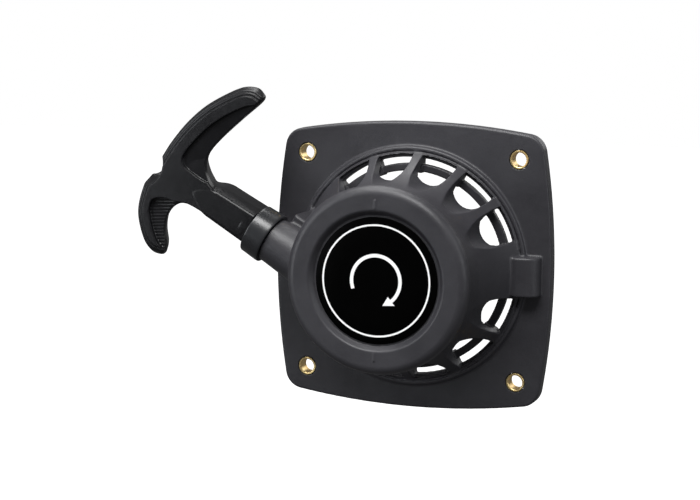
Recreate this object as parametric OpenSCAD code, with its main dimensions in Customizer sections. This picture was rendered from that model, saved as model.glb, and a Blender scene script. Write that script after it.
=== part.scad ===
/* [Flange] */
// Distance between neighbouring mounting holes
hole_spacing = 84; // [80:1:90]
// Half width of the flange at the middle of a side
flange_half = 54.5; // [53:0.5:58]
// Bulge radius of the flange's sides
side_r = 282; // [200:1:400]
// Depth of the flange
flange_depth = 6; // [5:0.5:8]
// Thickness of the flange's front plate
plate_t = 2.6; // [2:0.2:3.4]
// Width of the rim round the flange's back
rim_w = 2.2; // [1.6:0.2:3]

/* [Inserts] */
// Bore radius of the brass inserts, for M5 screws
insert_bore_r = 2.7; // [2.6:0.05:2.9]
// Outer radius of the brass inserts
insert_r = 3.5; // [3.3:0.1:4]

/* [Fan ring] */
// Outer radius of the raised lip
lip_r = 46; // [45.5:0.1:46.5]
// Radius of the vent opening inside the lip
vent_r = 43; // [42.5:0.1:43.5]
// Height of the lip's crest above the mounting face
lip_h = 7.8; // [7:0.2:9]
// Angle between neighbouring ribs
rib_pitch = 24; // [24:24]

/* [Cap] */
// Outer radius of the cap
cap_r = 34.6; // [34.2:0.1:35]
// Height of the cap's front above the mounting face
cap_h = 47; // [46.6:0.1:47.6]
// Radius of the badge recess at its mouth
recess_r = 25.3; // [25:0.1:26]
// Wall thickness of the shell
wall = 2.4; // [2:0.1:2.6]

/* [Rope exit] */
// Direction of the pull, from the right-hand side
pull_angle = 150; // [145:1:155]
// Distance of the rope exit's axis from the crankshaft axis
exit_offset = 14; // [13:0.5:15]
// Height of the rope exit's axis above the mounting face
exit_h = 30; // [29.5:0.1:30.5]
// Distance from the crankshaft axis to the mouth of the rope exit
mouth_s = 54; // [53:0.5:56]
// Diameter of the starter rope
rope_d = 3.5; // [3:0.1:3.6]

/* [Reel] */
// Outer radius of the reel
reel_r = 29; // [27:0.5:29.5]
// Radius of the reel's rope groove
groove_r = 15; // [14:0.5:15]
// Width of the rope groove
groove_w = 8; // [8:0.1:8.4]
// Radius of the centre post
post_r = 5; // [5:0.1:5]

/* [Pawls] */
// Distance of each pawl's pivot from the crankshaft axis
pivot_r = 14.5; // [14.5:0.1:14.5]
// Length from a pawl's pivot to its tip
pawl_len = 12.4; // [12:0.1:12.6]
// Swing of the pawls
pawl_swing = 38; // [30:1:38]
// Turn of the guide plate that swings the pawls out
guide_turn = 25; // [20:1:25]

/* [Hidden] */

$fn = 96;
eps = 0.01;
half = hole_spacing / 2;

// Mounting flange
side_c = side_r - flange_half;
corner_c = (-side_c + sqrt(side_c * side_c - 2 * (side_c * side_c - pow(side_r - 9, 2)))) / 2;
corner_r = 9;
corner_a = atan2(corner_c, corner_c + side_c);
boss_r = 6;

// Levels along the crankshaft axis, measured forwards from the mounting face
recess_h = cap_h - 2.1;
badge_t = 0.6;
badge_r = 23.4;
ceiling_h = cap_h - 4.5;
ceiling_r = cap_r - wall;
flange_t = 1.6;
groove_mid = exit_h;
reel_back = groove_mid - groove_w / 2 - flange_t;
reel_front = groove_mid + groove_w / 2 + flange_t;
case_h = reel_front + 0.5;
hub_back = 18.6;
hub_r = 10.4;
web_h = 23.2;
web_r = 20.5;
pawl_t = 3.2;
guide_h = 16.2;
guide_t = 1.2;
post_end = 13.6;
boss_top = 41.2;

// Skirt between the cap and the fan ring
skirt_top = 34;
skirt_foot = 6;
bar_z0 = 2;
bar_t = 3;
scoop_r = 7.1;
scoop_c = 42.4;
scoop_first = 26;
scoops_top = [0 : 4];
scoops_low = [7 : 13];

// Rope exit and handle: s runs along the pull, t across it, up and to the right
exit_r = 8.2;
exit_root_r = 9.8;
exit_start = 24;
exit_bore = 6;
exit_bore_root = 7.6;
collar_r = 9.3;
collar_len = 8;
collar_bore = 8.1;
spigot_r = 7.6;
spigot_len = 3.4;
shoulder_end = 5.4;
eyelet_r = 5.2;
eyelet_bore = 2.2;
rope_r = rope_d / 2;
bend_s = mouth_s - 7;
grip_front = 7;
grip_back = 9;
nose_r = 7.6;
knot_s = 85;
knot_r = 4;
pocket_r = 5;

// Rope on the reel: layers lie one rope apart, two turns side by side
layer_gap = 3.3;
turn_side = 1.72;
last_side = 1.95;
first_r = groove_r + 0.1 + rope_r;
lead_r = first_r + layer_gap + 2 * rope_r + 0.35;
lead_rise = 1.95;

// Recoil spring
spring_w = 5;
spring_t = 0.5;
spring_turns = 9;
spring_in = 8.2;
spring_out = 27.4;
spring_boss = 7.9;
case_r = 29.4;
case_wall = 0.6;

// Pawls and their guide
peg_len = 7.4;
peg_r = 1.5;
pin_r = 1.5;
slot_steps = 10;
reel_knot_a = 205;
reel_knot_r = 2.8;

function polar(r, a) = [r * cos(a), r * sin(a)];
function unit(v) = v / norm(v);
function turned(p, a) = [p.x * cos(a) - p.y * sin(a), p.x * sin(a) + p.y * cos(a)];
function skirt_r(h) = cap_r - 0.6
    + (vent_r - cap_r + 1.2) * pow((skirt_top - h) / (skirt_top - skirt_foot), 2);

// A smooth closed curve through the given points, with n steps between neighbours
function spline(p, n) = [
    for (i = [0 : len(p) - 1], k = [0 : n - 1])
        let (
            u = k / n, m = len(p),
            a = p[(i + m - 1) % m], b = p[i], c = p[(i + 1) % m], d = p[(i + 2) % m]
        )
        0.5 * (2 * b + (c - a) * u + (2 * a - 5 * b + 4 * c - d) * u * u
            + (3 * b - a - 3 * c + d) * u * u * u)
];

// The grip's outline, as distance past the rope exit's mouth and distance across
grip_outline = spline([
    [1.4, -7.4], [12, -7], [24, -7.3], [30, -9.4], [31.8, -14], [29.8, -20.5], [26.6, -25.4],
    [28.4, -29.2], [34, -29.7], [41, -25], [45.4, -18.6], [46.8, -10], [46.6, 0],
    [46.2, 12], [43.4, 23.5], [38, 34], [31, 42.5], [25, 46], [19.8, 45], [22.6, 37.5],
    [26.8, 27.5], [29.6, 18], [28.4, 12], [23.5, 8.9], [12, 8.6], [1.4, 8.6]
], 3);

module upright() rotate([90, 0, 0]) children();

// Places its children in the rope exit's frame: +Z along the pull, +Y towards the front
module along_pull(s) {
    base = polar(exit_offset, pull_angle + 90);
    tip = polar(s, pull_angle);
    translate([base.x + tip.x, base.y + tip.y, exit_h])
        rotate([0, 0, pull_angle])
            rotate([90, 0, 90])
                children();
}

// Round wire swept along a path of points, as one closed mesh
module wire(path, r, sides = 8) {
    n = len(path);
    points = [
        for (i = [0 : n - 1])
            let (
                t = unit(path[min(i + 1, n - 1)] - path[max(i - 1, 0)]),
                a = unit(cross(t, [0, 0, 1])),
                b = cross(t, a)
            )
            for (k = [0 : sides - 1])
                path[i] + r * (cos(360 * k / sides) * a + sin(360 * k / sides) * b)
    ];
    walls = [
        for (i = [0 : n - 2], k = [0 : sides - 1], half_quad = [0, 1])
            let (j = (k + 1) % sides, p = i * sides, q = p + sides)
            half_quad == 0 ? [p + k, q + k, q + j] : [p + k, q + j, p + j]
    ];
    ends = [
        [for (k = [0 : sides - 1]) k],
        [for (k = [sides - 1 : -1 : 0]) (n - 1) * sides + k]
    ];
    polyhedron(points, concat(walls, ends));
}

module ring(r_out, r_in, z0, z1) {
    translate([0, 0, z0])
        difference() {
            cylinder(r = r_out, h = z1 - z0);
            translate([0, 0, -1]) cylinder(r = r_in, h = z1 - z0 + 2);
        }
}

// Flange outline: four shallow arcs with a round corner about each mounting hole
module flange_shape(inset, z0, z1) {
    translate([0, 0, z0])
        difference() {
            intersection_for (a = [0 : 90 : 270])
                translate([side_c * cos(a + 180), side_c * sin(a + 180), 0])
                    cylinder(r = side_r - inset, h = z1 - z0, $fn = 360);
            for (a = [0 : 90 : 270])
                rotate([0, 0, a])
                    translate([corner_c, corner_c, -1])
                        difference() {
                            linear_extrude(height = z1 - z0 + 2)
                                polygon([
                                    [0, 0], polar(30, corner_a),
                                    polar(30, 45), polar(30, 90 - corner_a)
                                ]);
                            translate([0, 0, -1])
                                cylinder(r = corner_r - inset, h = z1 - z0 + 4);
                        }
        }
}

module at_holes() {
    for (x = [-half, half], y = [-half, half])
        translate([x, y, 0]) children();
}

module skirt() {
    steps = 10;
    rotate_extrude()
        polygon([
            for (i = [0 : steps])
                let (h = skirt_foot + (skirt_top - skirt_foot) * i / steps)
                [skirt_r(h), h],
            for (i = [steps : -1 : 0])
                let (h = skirt_foot + (skirt_top - skirt_foot) * i / steps)
                [skirt_r(h) - wall, h]
        ]);
}

// The space inside the shell, out to the middle of its wall
module inside() {
    steps = 10;
    rotate_extrude()
        polygon([
            [0, -1], [skirt_r(skirt_foot) - 0.2, -1], [skirt_r(skirt_foot) - 0.2, skirt_foot],
            for (i = [0 : steps])
                let (h = skirt_foot + (skirt_top - skirt_foot) * i / steps)
                [skirt_r(h) - wall / 2, h],
            [cap_r - wall / 2, skirt_top], [cap_r - wall / 2, ceiling_h - 1], [0, ceiling_h - 1]
        ]);
}

module cap() {
    nose = 4;
    rotate_extrude()
        difference() {
            union() {
                translate([0, skirt_top - 3]) square([cap_r, cap_h - skirt_top + 3 - nose]);
                square_w = cap_r - nose;
                translate([0, cap_h - nose - 1]) square([square_w, nose + 1]);
                translate([square_w, cap_h - nose]) circle(r = nose, $fn = 48);
            }
            translate([-5, skirt_top - 4]) square([ceiling_r + 5, ceiling_h - skirt_top + 4]);
            polygon([
                [-5, cap_h + 1], [recess_r, cap_h + 1], [recess_r, cap_h],
                [badge_r + 0.5, recess_h], [-5, recess_h]
            ]);
            translate([-10, 0]) square([10, 60]);
        }
}

// What is cut out of the skirt for one vent between two ribs
module scoop() {
    translate([scoop_c, 0, -1]) cylinder(r = scoop_r, h = skirt_top);
    translate([scoop_c + 2.2, 0, 18.5]) sphere(r = 9, $fn = 64);
}

module vents() {
    for (k = [for (i = scoops_top) i, for (i = scoops_low) i])
        rotate([0, 0, scoop_first + rib_pitch * k]) scoop();
}

// Hollow box beside the fan ring, with a round outer edge
module side_bump() {
    width = 14.8;
    front = 12;
    edge = 3;
    outer = 51.3;
    translate([0, -1.2, 0]) {
        translate([36, -width / 2, 0]) cube([outer - edge - 36, width, front]);
        translate([36, -width / 2, 0]) cube([outer - 36, width, front - edge]);
        translate([outer - edge, 0, front - edge])
            rotate([90, 0, 0]) cylinder(r = edge, h = width, center = true, $fn = 48);
    }
}

module exit_tube() {
    along_pull(exit_start)
        cylinder(r1 = exit_root_r, r2 = exit_r, h = mouth_s - collar_len - exit_start);
    along_pull(mouth_s - collar_len - eps) cylinder(r = spigot_r, h = spigot_len);
}

module flange() {
    difference() {
        union() {
            flange_shape(0, 0, flange_depth);
            cylinder(r = lip_r - 0.6, h = lip_h);
        }
        flange_hollow();
        translate([0, 0, -2]) cylinder(r = vent_r, h = 20);
        at_holes() translate([0, 0, -1]) cylinder(r = insert_r, h = 20);
    }
}

module flange_hollow() {
    difference() {
        flange_shape(rim_w, -1, flange_depth - plate_t);
        translate([0, 0, -2]) cylinder(r = lip_r, h = 20);
        at_holes() translate([0, 0, -2]) cylinder(r = boss_r, h = 20);
        for (a = [0 : 30 : 330])
            rotate([0, 0, a]) translate([40, -0.8, -2]) cube([40, 1.6, 20]);
    }
}

module housing() {
    color("#2b2c30") {
        difference() {
            union() {
                flange();
                difference() {
                    skirt();
                    vents();
                }
                cap();
                difference() {
                    union() {
                        side_bump();
                        exit_tube();
                    }
                    inside();
                }
            }
            bump_hollow();
            along_pull(exit_start - 6)
                cylinder(r1 = exit_bore_root, r2 = exit_bore, h = mouth_s - exit_start + 4);
        }
        fan_bars();
        centre_post();
    }
}

module bump_hollow() {
    translate([lip_r, -7, -1]) cube([3.4, 11.6, 11.2]);
}

// The fixed rings across the vents, with the feet of the ribs
module fan_bars() {
    ring(38.3, 35.4, bar_z0, bar_z0 + bar_t);
    ring(vent_r + 0.4, 40.3, bar_z0, bar_z0 + bar_t);
    for (k = [0 : 14])
        rotate([0, 0, scoop_first + rib_pitch * (k + 0.5)])
            translate([36.5, -1.4, bar_z0]) cube([vent_r - 36.3, 2.8, 5]);
}

module centre_post() {
    difference() {
        union() {
            translate([0, 0, post_end]) cylinder(r = post_r, h = ceiling_h - post_end + 0.5);
            translate([0, 0, ceiling_h - 0.8]) cylinder(r1 = 7, r2 = 8, h = 1.3);
        }
        translate([0, 0, post_end - 1]) cylinder(r = 3.2, h = 15);
    }
}

module mounting_insert(x, y) {
    color("#c9a24b")
        translate([x, y, 0])
            difference() {
                cylinder(r = insert_r, h = flange_depth + 0.2);
                translate([0, 0, -1]) cylinder(r = insert_bore_r, h = 20);
                translate([0, 0, flange_depth - 0.25])
                    cylinder(r1 = insert_bore_r, r2 = insert_r - 0.15, h = 0.65);
            }
}

// Brass thread insert in the post, drawn with the thread's clearance bore
module post_insert() {
    color("#c9a24b")
        translate([0, 0, post_end + 0.3])
            difference() {
                cylinder(r = 3.2, h = 11);
                translate([0, 0, -1]) cylinder(r = 2.02, h = 13);
            }
}

module badge() {
    color("#101012")
        translate([0, 0, recess_h]) cylinder(r = badge_r, h = badge_t);
}

module exit_collar() {
    color("#26272b")
        along_pull(mouth_s - collar_len)
            difference() {
                cylinder(r1 = collar_r + 0.4, r2 = collar_r, h = collar_len);
                translate([0, 0, shoulder_end]) cylinder(r = collar_bore, h = 5);
                translate([0, 0, -1]) cylinder(r = spigot_r, h = spigot_len + 1);
                translate([0, 0, -1]) cylinder(r = eyelet_r, h = 10);
            }
}

// Flanged metal guide with a round-lipped bore for the rope
module rope_eyelet() {
    lip = 1.5;
    back = 2;
    color("#b9bcc2")
        along_pull(mouth_s - collar_len)
            rotate_extrude()
                difference() {
                    union() {
                        translate([eyelet_bore, back])
                            square([eyelet_r - eyelet_bore, shoulder_end - back + 0.8]);
                        translate([eyelet_bore, shoulder_end])
                            square([7 - eyelet_bore, 0.8]);
                    }
                    translate([eyelet_bore - 0.01, back - 0.01])
                        difference() {
                            square(lip);
                            translate([lip, lip]) circle(r = lip, $fn = 48);
                        }
                }
}

module spring_case() {
    color("#8f9398")
        difference() {
            translate([0, 0, case_h]) cylinder(r = case_r, h = ceiling_h - case_h);
            translate([0, 0, case_h - 1])
                cylinder(r = case_r - case_wall, h = ceiling_h - case_h + 1 - case_wall);
            translate([0, 0, case_h - 1]) cylinder(r = 9.5, h = 20);
        }
}

// A flat strip wound in a spiral, its inner end turned in to hook the reel's boss
module recoil_spring() {
    per_turn = 20;
    last = spring_turns * per_turn;
    pitch = (spring_out - spring_in) / last;
    color("#5f6670")
        translate([0, 0, case_h + 0.3])
            linear_extrude(height = spring_w)
                union() {
                    polygon([
                        for (i = [0 : last])
                            polar(spring_in + i * pitch + spring_t, 360 / per_turn * i),
                        for (i = [last : -1 : 0])
                            polar(spring_in + i * pitch, 360 / per_turn * i)
                    ]);
                    translate([spring_boss - 0.8, 0]) square([1.4, spring_t]);
                }
}

module reel() {
    color("#e8e6df")
        difference() {
            union() {
                translate([0, 0, reel_back]) cylinder(r = reel_r, h = flange_t);
                translate([0, 0, reel_back]) cylinder(r = groove_r, h = reel_front - reel_back);
                translate([0, 0, reel_front - flange_t]) cylinder(r = reel_r, h = flange_t);
                translate([0, 0, web_h]) cylinder(r = web_r, h = reel_back - web_h + eps);
                translate([0, 0, hub_back]) cylinder(r = hub_r, h = web_h - hub_back + eps);
                translate([0, 0, guide_h + guide_t + 0.05]) cylinder(r = 8.4, h = 3);
                translate([0, 0, reel_front - eps])
                    cylinder(r = spring_boss, h = boss_top - reel_front);
            }
            cylinder(r = post_r + 1.3, h = 60);
            for (a = [0, 180])
                rotate([0, 0, a])
                    translate([0, pivot_r, web_h - 1]) cylinder(r = pin_r, h = 3.8);
            rotate([0, 0, reel_knot_a]) translate([first_r, 0, 0]) {
                cylinder(r = rope_r + 0.15, h = reel_back + flange_t + eps);
                cylinder(r = reel_knot_r + 0.2, h = reel_back);
            }
            for (a = [30, 150, 270])
                rotate([0, 0, a])
                    translate([25.2, 0, 0]) cylinder(r = 1.9, h = reel_back + flange_t + eps);
            translate([spring_boss - 1.1, -0.3, reel_front]) cube([3, 1.1, 10]);
        }
}

module reel_bush() {
    color("#b08d57")
        ring(post_r + 1.3, post_r + 0.05, guide_h + guide_t + 0.05, boss_top);
}

// The rope as it lies on the reel, with the last turn at the back of its layer
module rope_coil() {
    color("#ecebe6")
        translate([0, 0, groove_mid])
            rotate_extrude() {
                for (layer = [0, 1], side = [-turn_side, turn_side])
                    translate([first_r + layer * layer_gap, side]) circle(r = rope_r, $fn = 24);
                translate([first_r + 2 * layer_gap, -last_side]) circle(r = rope_r, $fn = 24);
            }
}

// From the reel's tangent to the eyelet, where the rope turns into the pull's direction
module rope_lead() {
    reach = norm([exit_offset, bend_s]);
    bend_a = pull_angle + atan2(exit_offset, bend_s);
    bend = polar(reach, bend_a);
    tangent = polar(lead_r, bend_a + acos(lead_r / reach));
    way = [bend.x - tangent.x, bend.y - tangent.y, -lead_rise];
    color("#ecebe6")
        translate([tangent.x, tangent.y, groove_mid + lead_rise])
            rotate([0, acos(way.z / norm(way)), atan2(way.y, way.x)])
                cylinder(r = rope_r, h = norm(way) - 0.6, $fn = 32);
}

module rope_run() {
    color("#ecebe6")
        along_pull(bend_s) cylinder(r = rope_r, h = knot_s - bend_s, $fn = 32);
}

module reel_knot() {
    color("#ecebe6")
        rotate([0, 0, reel_knot_a])
            translate([first_r, 0, reel_back - reel_knot_r - 0.1]) {
                sphere(r = reel_knot_r, $fn = 48);
                cylinder(r = rope_r, h = reel_knot_r + flange_t + 0.4, $fn = 32);
            }
}

// A ball with a flat foot where the rope's run ends
module handle_knot() {
    foot = 0.5;
    color("#ecebe6")
        difference() {
            along_pull(knot_s + knot_r - foot) sphere(r = knot_r, $fn = 48);
            along_pull(knot_s - 2) cylinder(r = knot_r, h = 2);
        }
}

module handle() {
    color("#1f2023")
        difference() {
            union() {
                grip_slab(grip_front - 2.8, grip_back - 2.8, 0);
                grip_slab(grip_front, grip_back, 2);
                along_pull(mouth_s - 1.4) cylinder(r = nose_r - 0.6, h = 4);
            }
            along_pull(mouth_s - 20) cylinder(r = rope_r + 0.35, h = 100, $fn = 48);
            along_pull(knot_s - 0.4) cylinder(r = pocket_r, h = 20, $fn = 48);
        }
}

// The grip's outline, drawn past the rope exit's mouth, pulled in all round by inset
module grip_slab(front, back, inset) {
    base = polar(exit_offset, pull_angle + 90) + polar(mouth_s + 0.3, pull_angle);
    translate([base.x, base.y, exit_h - back])
        rotate([0, 0, pull_angle])
            mirror([0, 1, 0])
                linear_extrude(height = front + back)
                    offset(delta = -inset) polygon(grip_outline);
}

module pawl() {
    translate([0, 0, hub_back + 0.1])
        difference() {
            union() {
                translate([0, pivot_r, 0]) cylinder(r = 3.4, h = pawl_t, $fn = 48);
                linear_extrude(height = pawl_t)
                    polygon([
                        [0, pivot_r - 3.2], [pawl_len - 3, pivot_r - 1.6],
                        [pawl_len, pivot_r - 1.2], [pawl_len - 0.4, pivot_r + 2.6],
                        [pawl_len - 4, pivot_r + 2.4], [0, pivot_r + 3.4]
                    ]);
                translate([peg_len, pivot_r, guide_h - hub_back - 0.4])
                    cylinder(r = peg_r, h = hub_back - guide_h + 1, $fn = 48);
            }
            translate([0, pivot_r, -1]) cylinder(r = pin_r + 0.06, h = 10, $fn = 48);
        }
}

module pawl_pin() {
    back = guide_h + guide_t + 0.2;
    translate([0, pivot_r, back]) cylinder(r = pin_r, h = web_h + 2.8 - back, $fn = 48);
}

// Retaining clip in the groove at the pin's back end
module pawl_clip() {
    translate([0, pivot_r, hub_back - 0.85])
        difference() {
            cylinder(r = 2.9, h = 0.6, $fn = 48);
            translate([0, 0, -1]) cylinder(r = pin_r, h = 3, $fn = 48);
            translate([-0.9, -4, -1]) cube([1.8, 4, 3]);
        }
}

// Torsion spring round the pin, between the pawl and the reel's web
module pawl_spring() {
    wire_r = 0.25;
    turns = 1.25;
    steps = 20;
    coil = 2.1;
    rise = web_h - hub_back - pawl_t - 0.1 - 2 * wire_r - 0.1;
    translate([0, pivot_r, hub_back + pawl_t + 0.15 + wire_r])
        wire(concat(
            [[-3.4, -coil, 0]],
            [
                for (i = [0 : steps])
                    let (a = -90 + 360 * turns * i / steps)
                    [coil * cos(a), coil * sin(a), rise * i / steps]
            ],
            [[coil, 3.4, rise]]
        ), wire_r);
}

// Where a pawl's peg stands in the guide plate's own frame, f of the way through its swing
function peg_at(f) = turned(
    [0, pivot_r] + turned([peg_len, 0], pawl_swing * f), -guide_turn * f);

module guide_plate() {
    w = peg_r + 0.25;
    dir = function(f) peg_at(f + 0.02) - peg_at(f - 0.02);
    side = function(f, d) peg_at(f) + d * [-dir(f).y, dir(f).x] / norm(dir(f));
    color("#a7abb0")
        translate([0, 0, guide_h])
            difference() {
                union() {
                    cylinder(r = 11, h = guide_t);
                    for (a = [0, 180])
                        rotate([0, 0, a])
                            linear_extrude(height = guide_t)
                                polygon([
                                    polar(10, 100), polar(17, 82), polar(20.3, 74),
                                    polar(23.4, 60), polar(24, 48), polar(22.6, 36),
                                    polar(16, 28), polar(10, 20)
                                ]);
                }
                translate([0, 0, -1]) cylinder(r = post_r + 0.08, h = 4);
                for (a = [0, 180])
                    rotate([0, 0, a])
                        translate([0, 0, -1]) {
                            linear_extrude(height = 4)
                                polygon([
                                    for (i = [0 : slot_steps]) side(i / slot_steps, w),
                                    for (i = [slot_steps : -1 : 0]) side(i / slot_steps, -w)
                                ]);
                            for (f = [0, 1])
                                translate([peg_at(f).x, peg_at(f).y, 0])
                                    cylinder(r = w, h = 4, $fn = 32);
                        }
            }
}

// Conical wire spring that presses the guide plate lightly on the hub
module friction_spring() {
    wire_r = 0.4;
    turns = 2.5;
    steps = 50;
    top = guide_h - wire_r - 0.03;
    bottom = post_end + wire_r;
    color("#9aa0a6")
        wire([
            for (i = [0 : steps])
                let (f = i / steps, r = 8.6 - 2 * f, a = 360 * turns * f)
                [r * cos(a), r * sin(a), top + (bottom - top) * f]
        ], wire_r);
}

module friction_washer() {
    color("#b4b7bb") ring(8.6, 2.6, post_end - 1.5, post_end);
}

module centre_screw() {
    head_h = 4.2;
    color("#b4b7bb")
        difference() {
            union() {
                translate([0, 0, post_end - 1.5 - head_h]) cylinder(r = 5, h = head_h);
                translate([0, 0, post_end - 1.6]) cylinder(r = 2, h = 12);
            }
            translate([0, 0, post_end - 2.7 - head_h]) cylinder(r = 2.3, h = 4, $fn = 6);
        }
}

upright() housing();
upright() mounting_insert(-half, half);  // insert_upper_left
upright() mounting_insert(half, half);  // insert_upper_right
upright() mounting_insert(-half, -half);  // insert_lower_left
upright() mounting_insert(half, -half);  // insert_lower_right
upright() post_insert();
upright() badge();
upright() exit_collar();
upright() rope_eyelet();
upright() spring_case();
upright() recoil_spring();
upright() reel();
upright() reel_bush();
upright() rope_coil();
upright() rope_lead();
upright() rope_run();
upright() reel_knot();
upright() handle();
upright() handle_knot();
upright() pawl();  // pawl_1
upright() rotate([0, 0, 180]) pawl();  // pawl_2
upright() pawl_pin();  // pawl_pin_1
upright() rotate([0, 0, 180]) pawl_pin();  // pawl_pin_2
upright() pawl_spring();  // pawl_spring_1
upright() rotate([0, 0, 180]) pawl_spring();  // pawl_spring_2
upright() pawl_clip();  // pawl_clip_1
upright() rotate([0, 0, 180]) pawl_clip();  // pawl_clip_2
upright() guide_plate();
upright() friction_spring();
upright() friction_washer();
upright() centre_screw();
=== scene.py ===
"""Recoil starter: the visual model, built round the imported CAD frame.

Shapes are worked out in millimetres in the starter's flat frame: x right, y up and h
forwards from the mounting face. The row frame is in metres, with the front towards -Y.
"""
import math

import bmesh
import bpy
import numpy as np
from mathutils import Matrix, Vector


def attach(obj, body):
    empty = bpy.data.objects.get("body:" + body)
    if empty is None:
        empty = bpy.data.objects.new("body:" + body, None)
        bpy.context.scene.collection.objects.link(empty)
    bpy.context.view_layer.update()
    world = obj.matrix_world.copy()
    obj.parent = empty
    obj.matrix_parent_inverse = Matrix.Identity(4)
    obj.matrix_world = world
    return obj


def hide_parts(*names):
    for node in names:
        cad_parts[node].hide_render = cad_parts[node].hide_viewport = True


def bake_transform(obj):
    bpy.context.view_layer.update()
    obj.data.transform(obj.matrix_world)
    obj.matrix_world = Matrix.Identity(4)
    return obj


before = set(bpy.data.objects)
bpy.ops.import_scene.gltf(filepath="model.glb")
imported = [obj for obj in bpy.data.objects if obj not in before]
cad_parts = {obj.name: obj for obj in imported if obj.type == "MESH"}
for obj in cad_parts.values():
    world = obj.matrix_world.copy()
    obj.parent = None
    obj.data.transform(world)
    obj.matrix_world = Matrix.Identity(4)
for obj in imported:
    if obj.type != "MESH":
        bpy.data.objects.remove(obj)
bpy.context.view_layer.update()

MM = 0.001
HOUSING, REEL, HANDLE = "starter_housing", "rope_reel", "pull_handle"

# Camera, as fitted to the photograph
LENS, SENSOR = 90.0, 36.0
AZIMUTH, ELEVATION, ROLL = 20.127, 8.039, 0.306
DISTANCE = 674.48
AIM = (-24.404, 6.0, 4.817)

# Main dimensions, as in the CAD model
HALF = 42.0
FLANGE_HALF, SIDE_R, FLANGE_D = 55.0, 282.0, 6.0
CORNER_R = 7.5
PLATE_BACK = 3.4
RIM_W = 2.2
INSERT_R, INSERT_BORE = 3.5, 2.7
LIP_R, VENT_R, LIP_H = 45.8, 43.0, 7.8
SCOOP_AT, SCOOP_R, SCOOP_BACK, SCOOP_FRONT = 40.8, 7.0, 15.0, 34.5
BAR_BACK, BAR_FRONT, RING_FRONT = 3.4, 6.6, 7.0
CAP_R, CAP_H, WALL = 34.6, 47.0, 2.4
BADGE_R = 23.2
CEILING_H = 42.5
FIRST_VENT, PITCH = 25.4, 24.0
PULL = math.radians(150.0)
EXIT_OFFSET, EXIT_H = 14.0, 30.0
MOUTH_S, COLLAR_LEN, BEND_S = 54.0, 8.0, 47.0
ROPE_R = 1.75
GRIP_FRONT, GRIP_BACK = 7.0, 9.0
POST_R = 5.0

ALONG = (math.cos(PULL), math.sin(PULL))
ACROSS = (ALONG[1], -ALONG[0])  # across the pull, up and to the right


# ---------------------------------------------------------------- camera, lights, stage


def row(x, y, h):
    """A point of the flat frame, in millimetres, in the row frame, in metres."""
    return Vector((x * MM, -h * MM, y * MM))


def make_camera():
    a, e, r = (math.radians(v) for v in (AZIMUTH, ELEVATION, ROLL))
    back = Vector((math.sin(a) * math.cos(e), -math.cos(a) * math.cos(e), math.sin(e)))
    right = Vector((math.cos(a), math.sin(a), 0.0))
    up = back.cross(right)
    right, up = right * math.cos(r) + up * math.sin(r), up * math.cos(r) - right * math.sin(r)
    data = bpy.data.cameras.new("camera")
    data.lens, data.sensor_width = LENS, SENSOR
    data.clip_start, data.clip_end = 0.01, 20.0
    camera = bpy.data.objects.new("camera", data)
    bpy.context.scene.collection.objects.link(camera)
    turn = np.array([right, up, back]).T
    camera.matrix_world = Matrix.Translation(row(AIM[0], AIM[2], AIM[1]) + back * DISTANCE * MM) @ (
        Matrix(turn.tolist()).to_4x4()
    )
    bpy.context.scene.camera = camera


make_camera()


# ---------------------------------------------------------------- material helpers


class Nodes:
    """A short way to write a material's nodes."""

    def __init__(self, name):
        self.material = bpy.data.materials.new(name)
        self.material.use_nodes = True
        self.tree = self.material.node_tree
        self.shader = self.tree.nodes["Principled BSDF"]
        self.coord = self.add("ShaderNodeTexCoord").outputs["Object"]

    def add(self, kind, **values):
        node = self.tree.nodes.new(kind)
        for key, value in values.items():
            setattr(node, key, value)
        return node

    def put(self, socket, value):
        if hasattr(value, "is_output"):
            self.tree.links.new(value, socket)
        else:
            socket.default_value = value

    def noise(self, scale, detail=3.0, rough=0.5, where=None):
        """Noise with features about 1/scale of a millimetre across."""
        n = self.add("ShaderNodeTexNoise")
        n.inputs["Scale"].default_value = scale / MM
        n.inputs["Detail"].default_value = detail
        n.inputs["Roughness"].default_value = rough
        self.tree.links.new(where or self.coord, n.inputs["Vector"])
        return n.outputs["Fac"]

    def math(self, operation, a, b=0.0, clamp=False):
        n = self.add("ShaderNodeMath", operation=operation, use_clamp=clamp)
        self.put(n.inputs[0], a)
        self.put(n.inputs[1], b)
        return n.outputs[0]

    def ramp(self, fac, low, high, a, b):
        """Maps fac from low..high to a..b."""
        n = self.add("ShaderNodeMapRange")
        for socket, value in zip(n.inputs, (fac, low, high, a, b)):
            self.put(socket, value)
        return n.outputs[0]

    def mix(self, fac, a, b):
        n = self.add("ShaderNodeMix", data_type="RGBA")
        self.put(n.inputs["Factor"], fac)
        self.put(n.inputs[6], a)
        self.put(n.inputs[7], b)
        return n.outputs[2]

    def set(self, **values):
        names = {"color": "Base Color", "rough": "Roughness", "metal": "Metallic",
                 "level": "Specular IOR Level"}
        for key, value in values.items():
            self.put(self.shader.inputs[names[key]], value)
        return self

    def bump(self, *layers):
        """Bump from (height, depth in millimetres) layers, one after another."""
        normal = None
        for height, depth in layers:
            n = self.add("ShaderNodeBump")
            n.inputs["Strength"].default_value = 1.0
            n.inputs["Distance"].default_value = depth * MM
            self.put(n.inputs["Height"], height)
            if normal is not None:
                self.tree.links.new(normal, n.inputs["Normal"])
            normal = n.outputs["Normal"]
        self.tree.links.new(normal, self.shader.inputs["Normal"])
        return self


def grey(r, g=None, b=None):
    return (r, r if g is None else g, r if b is None else b, 1.0)


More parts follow.
